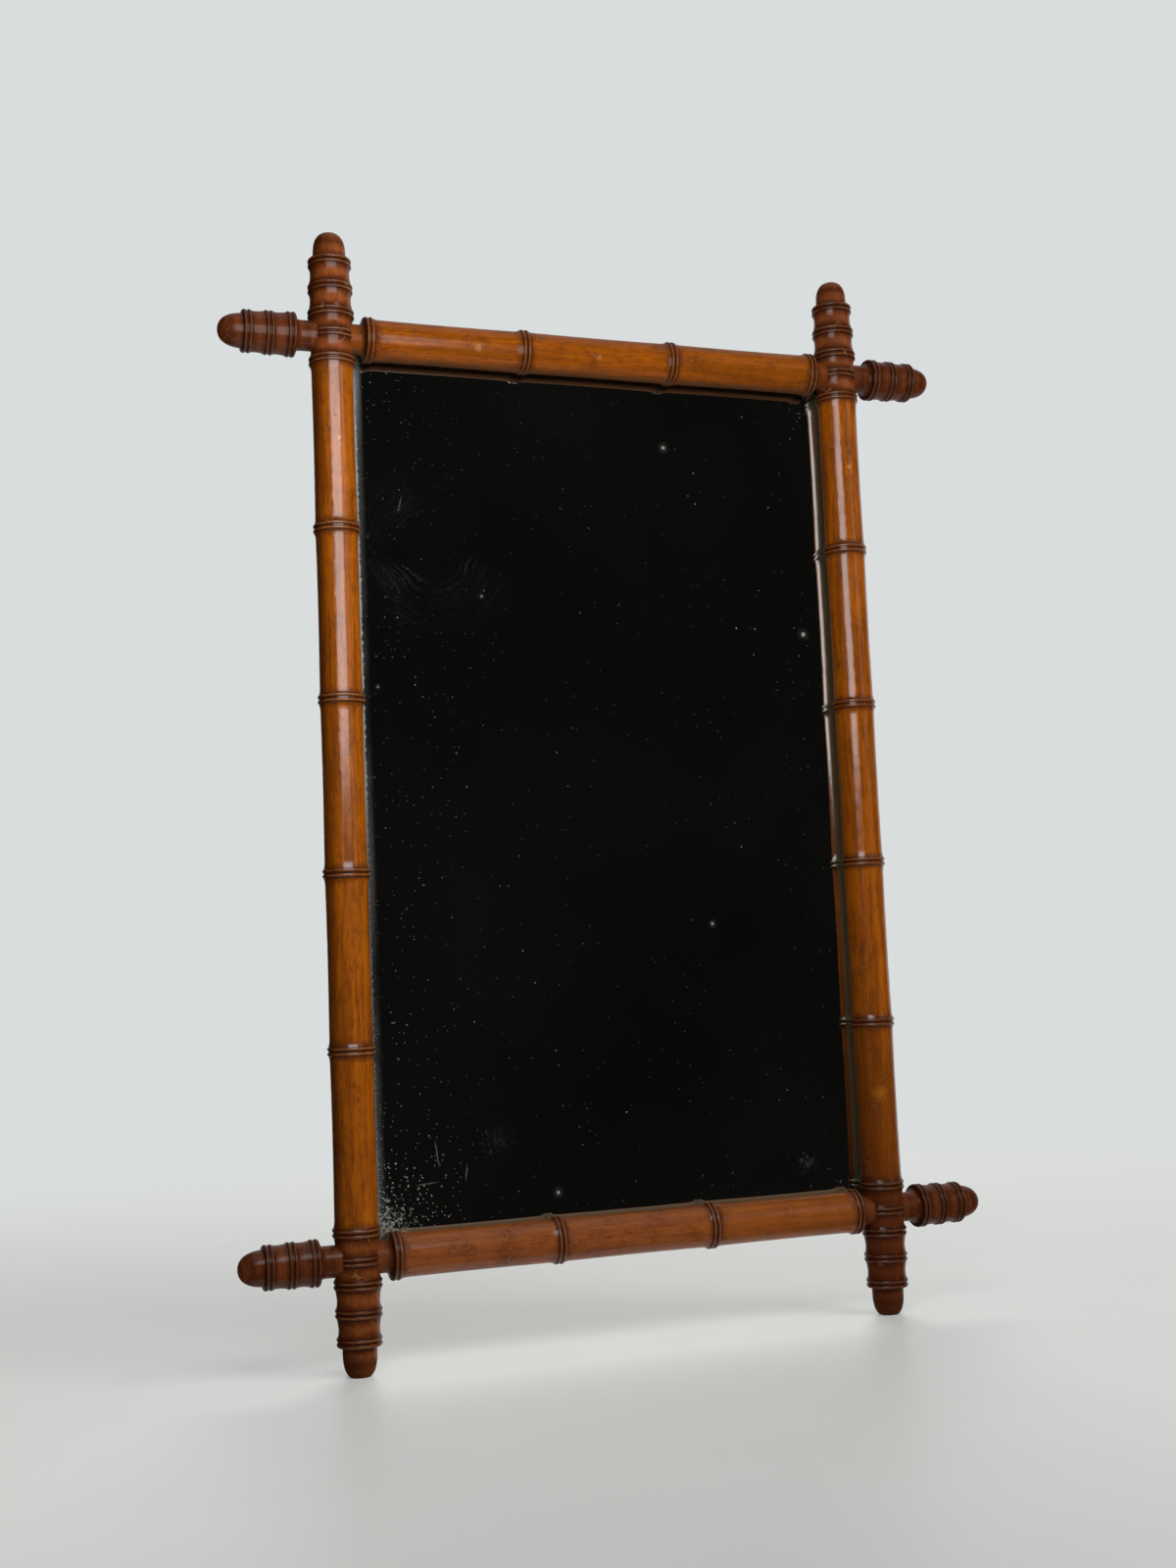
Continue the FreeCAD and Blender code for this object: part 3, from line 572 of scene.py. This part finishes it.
# Growth lines and fibres, pushed aside where a knot is
knot_field = add(tree, "Mapping", {"Vector": own, "Scale": (1.0, 1.0, 0.55)})["Vector"]
knots = add(tree, "TexVoronoi", {"Vector": knot_field, "Scale": 1 / knot_spacing})
lot = add(tree, "SeparateColor", {"Color": knots["Color"]})["Red"]
present = add(tree, "Math", {0: lot, 1: 0.45}, operation="LESS_THAN")[0]
pushed = add(tree, "MapRange", {0: knots["Distance"], 1: 0.4, 2: 0.03, 4: 20 * mm},
             interpolation_type="SMOOTHSTEP")[0]
pushed = add(tree, "Math", {0: pushed, 1: present}, operation="MULTIPLY")[0]
sideways = add(tree, "CombineXYZ", {"X": pushed})[0]
bent = add(tree, "VectorMath", {0: own, 1: sideways}, operation="ADD")[0]
grain = add(tree, "Mapping", {"Vector": bent, "Scale": (1.0, 1.0, 0.04)})["Vector"]
growth = add(tree, "TexNoise", {
    "Vector": grain, "Scale": 1 / growth_width, "Detail": 5.0, "Distortion": 0.8,
})[0]
fibres = add(tree, "TexNoise", {"Vector": grain, "Scale": 1 / fibre_width, "Detail": 2.0})[0]
growth_mask = add(tree, "MapRange", {0: growth, 1: 0.38, 2: 0.66}, interpolation_type="SMOOTHSTEP")[0]
colour = add(tree, "Mix", {0: growth_mask, 6: linear("#a17c52"), 7: linear("#7b5833")}, data_type="RGBA")[2]
fibre_mask = add(tree, "MapRange", {0: fibres, 1: 0.5, 2: 0.75, 4: 0.45})[0]
colour = add(tree, "Mix", {0: fibre_mask, 6: colour, 7: linear("#503620")}, data_type="RGBA")[2]
knot_mask = add(tree, "MapRange", {0: knots["Distance"], 1: 0.07, 2: 0.045, 4: 0.85})[0]
knot_mask = add(tree, "Math", {0: knot_mask, 1: present}, operation="MULTIPLY")[0]
colour = add(tree, "Mix", {0: knot_mask, 6: colour, 7: linear("#4a2d18")}, data_type="RGBA")[2]

# Grey dust, and the marks of the saw across the grain
dust = add(tree, "TexNoise", {"Vector": coords, "Scale": 1 / dust_width, "Detail": 5.0})[0]
dust_mask = add(tree, "MapRange", {0: dust, 1: 0.42, 2: 0.7, 4: 0.4})[0]
colour = add(tree, "Mix", {0: dust_mask, 6: colour, 7: linear("#6d6154")}, data_type="RGBA")[2]
saw = add(tree, "TexWave", {
    "Vector": coords, "Scale": 1 / saw_pitch, "Distortion": 1.2, "Detail": 2.0,
}, bands_direction="Z")[1]
height = add(tree, "Math", {0: saw, 1: 0.4, 2: fibres}, operation="MULTIPLY_ADD")[0]
bump = add(tree, "Bump", {"Height": height, "Distance": 0.4 * mm, "Strength": 0.6})["Normal"]
shader = add(tree, "BsdfPrincipled", {"Base Color": colour, "Roughness": 0.8, "Normal": bump})
add(tree, "OutputMaterial", {"Surface": shader["BSDF"]})
dress(material, "left_backboard", "middle_backboard", "right_backboard", "glass_slips")

# Nails
# Twelve cut iron nails, driven through the planks into the rails until their heads lie flush.
# The iron has rusted in place: dull brown black, mottled and a little rough.
rust_width = 1.2 * mm
material, tree = new_tree("rusted_iron")
coords = add(tree, "TexCoord")["Object"]
rust = add(tree, "TexNoise", {"Vector": coords, "Scale": 1 / rust_width, "Detail": 4.0})[0]
colour = add(tree, "Mix", {0: rust, 6: linear("#3b3430"), 7: linear("#5f3a26")}, data_type="RGBA")[2]
rough = add(tree, "MapRange", {0: rust, 1: 0.3, 2: 0.7, 3: 0.45, 4: 0.75})[0]
bump = add(tree, "Bump", {"Height": rust, "Distance": 0.2 * mm, "Strength": 0.5})["Normal"]
shader = add(tree, "BsdfPrincipled", {
    "Base Color": colour, "Metallic": 0.7, "Roughness": rough, "Normal": bump,
})
add(tree, "OutputMaterial", {"Surface": shader["BSDF"]})
dress(material, "backboard_nails")

# Ring hangers
# Folded brass straps, each with a ring of brass wire in its eye, held flat on the post by two brass screws.
# The brass has dulled to brown in cloudy patches, and shines a little between them.
tarnish_width = 4 * mm
material, tree = new_tree("tarnished_brass")
coords = add(tree, "TexCoord")["Object"]
tarnish = add(tree, "TexNoise", {"Vector": coords, "Scale": 1 / tarnish_width, "Detail": 5.0})[0]
dull = add(tree, "MapRange", {0: tarnish, 1: 0.38, 2: 0.66})[0]
colour = add(tree, "Mix", {0: dull, 6: linear("#c9a35a"), 7: linear("#77592c")}, data_type="RGBA")[2]
rough = add(tree, "MapRange", {0: tarnish, 1: 0.35, 2: 0.7, 3: 0.25, 4: 0.5})[0]
bump = add(tree, "Bump", {"Height": tarnish, "Distance": 0.1 * mm, "Strength": 0.3})["Normal"]
shader = add(tree, "BsdfPrincipled", {
    "Base Color": colour, "Metallic": 1.0, "Roughness": rough, "Normal": bump,
})
add(tree, "OutputMaterial", {"Surface": shader["BSDF"]})
dress(material, "left_hanger_strap", "right_hanger_strap", "hanger_screws")
dress(material, "left_hanger_ring", "right_hanger_ring")

# Studio floor
# A plain pale floor under the feet, painted and slightly uneven in tone. Towards its rim it melts into the
# colour of the backdrop, for the camera alone.
backdrop_colour = linear("#dadddd")
floor_half = 4.0
floor_z = cad_box[0].z
tone_width = 120 * mm
mesh = bpy.data.meshes.new("studio_floor")
corners = [(-1, -1), (1, -1), (1, 1), (-1, 1)]
mesh.from_pydata([(x * floor_half, y * floor_half, floor_z) for x, y in corners], [], [(0, 1, 2, 3)])
floor = bpy.data.objects.new("studio_floor", mesh)
bpy.context.scene.collection.objects.link(floor)
material, tree = new_tree("pale_floor_paint")
coords = add(tree, "TexCoord")["Object"]
tone = add(tree, "TexNoise", {"Vector": coords, "Scale": 1 / tone_width, "Detail": 4.0})[0]
colour = add(tree, "Mix", {0: tone, 6: linear("#eae9e3"), 7: linear("#f1f0eb")}, data_type="RGBA")[2]
paint = add(tree, "BsdfPrincipled", {"Base Color": colour, "Roughness": 0.4})["BSDF"]
backdrop = add(tree, "Emission", {"Color": backdrop_colour})["Emission"]
rim = add(tree, "VectorMath", {0: coords}, operation="LENGTH")["Value"]
rim = add(tree, "MapRange", {0: rim, 1: 0.5, 2: 2.0, 3: 0.3}, interpolation_type="SMOOTHSTEP")[0]
camera_ray = add(tree, "LightPath")["Is Camera Ray"]
rim = add(tree, "Math", {0: rim, 1: camera_ray}, operation="MULTIPLY")[0]
mix = add(tree, "MixShader", {0: rim, 1: paint, 2: backdrop})["Shader"]
add(tree, "OutputMaterial", {"Surface": mix})
mesh.materials.append(material)
floor.visible_glossy = False

# Studio curtain
# Black wool curtains round the front and both sides of the room, seen only where the glass and the polish
# reflect them. They part a little at the right, where a slit of pale wall shows above the height of the
# lens. Angles are in degrees from straight ahead of the glass.
curtain_radius = 6.0
curtain_step = 4
curtain_low = -12.0
curtain_high = 11.0
slit_low = 0.3
fold_width = 1.2
points = []
faces = []
for start, finish, high in ((-168, 32, curtain_high), (32, 40, slit_low), (40, 100, curtain_high)):
    for turn in range(start, finish, curtain_step):
        count = len(points)
        for angle in (math.radians(turn), math.radians(turn + curtain_step)):
            x = curtain_radius * math.sin(angle)
            y = -curtain_radius * math.cos(angle)
            points += [(x, y, curtain_low), (x, y, high)]
        faces.append((count, count + 1, count + 3, count + 2))
mesh = bpy.data.meshes.new("studio_curtain")
mesh.from_pydata(points, [], faces)
curtain = bpy.data.objects.new("studio_curtain", mesh)
bpy.context.scene.collection.objects.link(curtain)
material, tree = new_tree("black_wool")
coords = add(tree, "TexCoord")["Object"]
folds = add(tree, "TexNoise", {"Vector": coords, "Scale": 1 / fold_width, "Detail": 3.0})[0]
colour = add(tree, "Mix", {0: folds, 6: linear("#050505"), 7: linear("#151413")}, data_type="RGBA")[2]
shader = add(tree, "Emission", {"Color": colour})
add(tree, "OutputMaterial", {"Surface": shader["Emission"]})
mesh.materials.append(material)
curtain.visible_camera = False
curtain.visible_diffuse = False
curtain.visible_shadow = False

# Studio light
# One soft box in front at the upper left, flagged off the glass so that it doesn't show there, a wide soft
# fill from the right and another from behind, which give no glint, and pale walls.
lit = bpy.data.collections.new("lit_by_soft_box")
for node_name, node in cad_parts.items():
    if node_name != "mirror_glass":
        lit.objects.link(node)
lit.objects.link(floor)
for name, position, target, width, height, power in (
    ("soft_box", (-0.28, -0.7, 0.36), (-0.28, 0.0, 0.25), 0.62, 0.54, 5.0),
    ("fill", (1.9, -1.9, 1.2), (0.0, 0.0, 0.0), 1.6, 1.6, 42.0),
    ("back_fill", (0.9, 2.2, 1.2), (0.0, 0.0, 0.0), 1.6, 1.6, 45.0),
):
    lamp = bpy.data.lights.new(name, "AREA")
    lamp.shape = "RECTANGLE"
    lamp.size = width
    lamp.size_y = height
    lamp.energy = power
    lamp_object = bpy.data.objects.new(name, lamp)
    lamp_object.location = position
    aim = Vector(target) - Vector(position)
    lamp_object.rotation_euler = aim.to_track_quat("-Z", "Y").to_euler()
    lamp_object.visible_camera = False
    bpy.context.scene.collection.objects.link(lamp_object)
    if name == "soft_box":
        lamp_object.light_linking.receiver_collection = lit
    else:
        lamp_object.visible_glossy = False

world = bpy.data.worlds.new("pale_studio")
bpy.context.scene.world = world
world.use_nodes = True
tree = world.node_tree
tree.nodes.clear()
rays = add(tree, "LightPath")
seen = add(tree, "Math", {0: rays["Is Camera Ray"], 1: rays["Is Glossy Ray"]}, operation="MAXIMUM")[0]
seen = add(tree, "Math", {0: seen, 1: rays["Is Transmission Ray"]}, operation="MAXIMUM")[0]
ambient = add(tree, "Background", {"Color": linear("#f4f5f6"), "Strength": 0.08})[0]
backdrop = add(tree, "Background", {"Color": backdrop_colour})[0]
mix = add(tree, "MixShader", {0: seen, 1: ambient, 2: backdrop})[0]
add(tree, "OutputWorld", {"Surface": mix})
bpy.context.scene.view_settings.view_transform = "Standard"

# Camera
# A phone lens at the left of the glass, level with its lower half, turned to the right, tilted slightly up
# and rolled a little.
camera_place = (-0.57434, -1.55152, -0.16544)
turned_right = math.radians(19.743)
tilted_up = math.radians(5.847)
rolled = math.radians(2.424)
camera_data = bpy.data.cameras.new("camera")
camera_data.lens = 41.02
camera_data.sensor_width = 36.0
camera = bpy.data.objects.new("camera", camera_data)
bpy.context.scene.collection.objects.link(camera)
camera.matrix_world = (
    Matrix.Translation(camera_place)
    @ Matrix.Rotation(-turned_right, 4, "Z")
    @ Matrix.Rotation(math.pi / 2 + tilted_up, 4, "X")
    @ Matrix.Rotation(-rolled, 4, "Z")
)
bpy.context.scene.camera = camera
